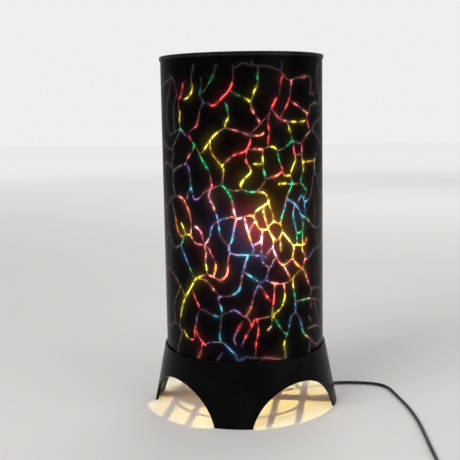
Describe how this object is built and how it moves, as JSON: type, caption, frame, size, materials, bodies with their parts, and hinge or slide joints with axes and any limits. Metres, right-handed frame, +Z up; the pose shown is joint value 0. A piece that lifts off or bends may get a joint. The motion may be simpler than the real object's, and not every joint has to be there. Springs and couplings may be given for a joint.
{
  "type": "motion lamp",
  "caption": "Rotating motion lamp: a black crackle-print tube shade glowing in many colours over a flared base with arched openings, a heat-driven drum inside, and a power cord.",
  "frame": {"origin": "on the surface that the lamp stands on, under the shade's axis", "axes": "+Z up along the shade's axis; -Y is the leg nearest the viewer; the cord leaves towards +X"},
  "size_m": [0.2663, 0.336, 0.333],
  "materials": {
    "base_enamel": "gloss",
    "shade_print": "gloss, printed",
    "ring_trim": "gloss",
    "drum_colours": "translucent, coloured in patches",
    "rotor_sheet": "mill, satin",
    "bright_steel": "zinc plated",
    "steel_wire": "drawn",
    "warm_brass": "polished",
    "phenolic": "matte",
    "deck_moulding": "matte",
    "clear_glass": "clear",
    "black_glass": "glazed",
    "solder": "dull",
    "tungsten": "glowing",
    "cord_jacket": "satin",
    "plug_moulding": "satin",
    "switch_moulding": "gloss",
    "rocker_moulding": "gloss",
    "tie_wrap": "matte"
  },
  "bodies": {
    "lamp": {"base_shell": "base_enamel", "vent_deck": "deck_moulding", "deck_screws": "bright_steel", "nipple": "bright_steel", "lock_nut": "bright_steel", "lampholder_cap": "phenolic", "lampholder_body": "phenolic", "screw_shell": "warm_brass", "centre_contact": "warm_brass", "bulb_contact": "solder", "bulb_insulator": "black_glass", "bulb_cap": "bright_steel", "bulb_glass": "clear_glass", "bulb_stem": "clear_glass", "bulb_leads": "steel_wire", "bulb_filament": "tungsten", "pivot_bail": "steel_wire", "needle_collar": "warm_brass", "pivot_needle": "steel_wire", "supply_lead": "cord_jacket", "strain_relief": "plug_moulding", "power_cord": "cord_jacket", "cord_link": "cord_jacket", "cord_tail": "cord_jacket", "cord_coil": "cord_jacket", "cord_tie": "tie_wrap", "switch_lower_shell": "switch_moulding", "switch_upper_shell": "switch_moulding", "switch_screws": "bright_steel", "plug_body": "plug_moulding", "plug_blades": "warm_brass"},
    "drum": {"drum_film": "drum_colours", "drum_hoop": "ring_trim", "drum_rotor": "rotor_sheet", "bearing_cup": "warm_brass", "hub_washer": "bright_steel"},
    "shade": {"shade_sheet": "shade_print", "shade_top_ring": "ring_trim", "shade_rivets": "bright_steel"},
    "rocker": {"switch_rocker": "rocker_moulding"}
  },
  "joints": [
    {"name": "drum_spin", "type": "hinge", "parent": "lamp", "child": "drum", "pos_m": [0, 0, 0.302], "axis": [0, 0, 1], "continuous": true},
    {"name": "shade_lift", "type": "slide", "parent": "lamp", "child": "shade", "axis": [0, 0, 1], "range_m": [0, 0.29]},
    {"name": "switch_rock", "type": "hinge", "parent": "lamp", "child": "rocker", "pos_m": [0.116, -0.204, 0.008], "axis": [0, -1, 0], "range_deg": [0, 16]}
  ]
}
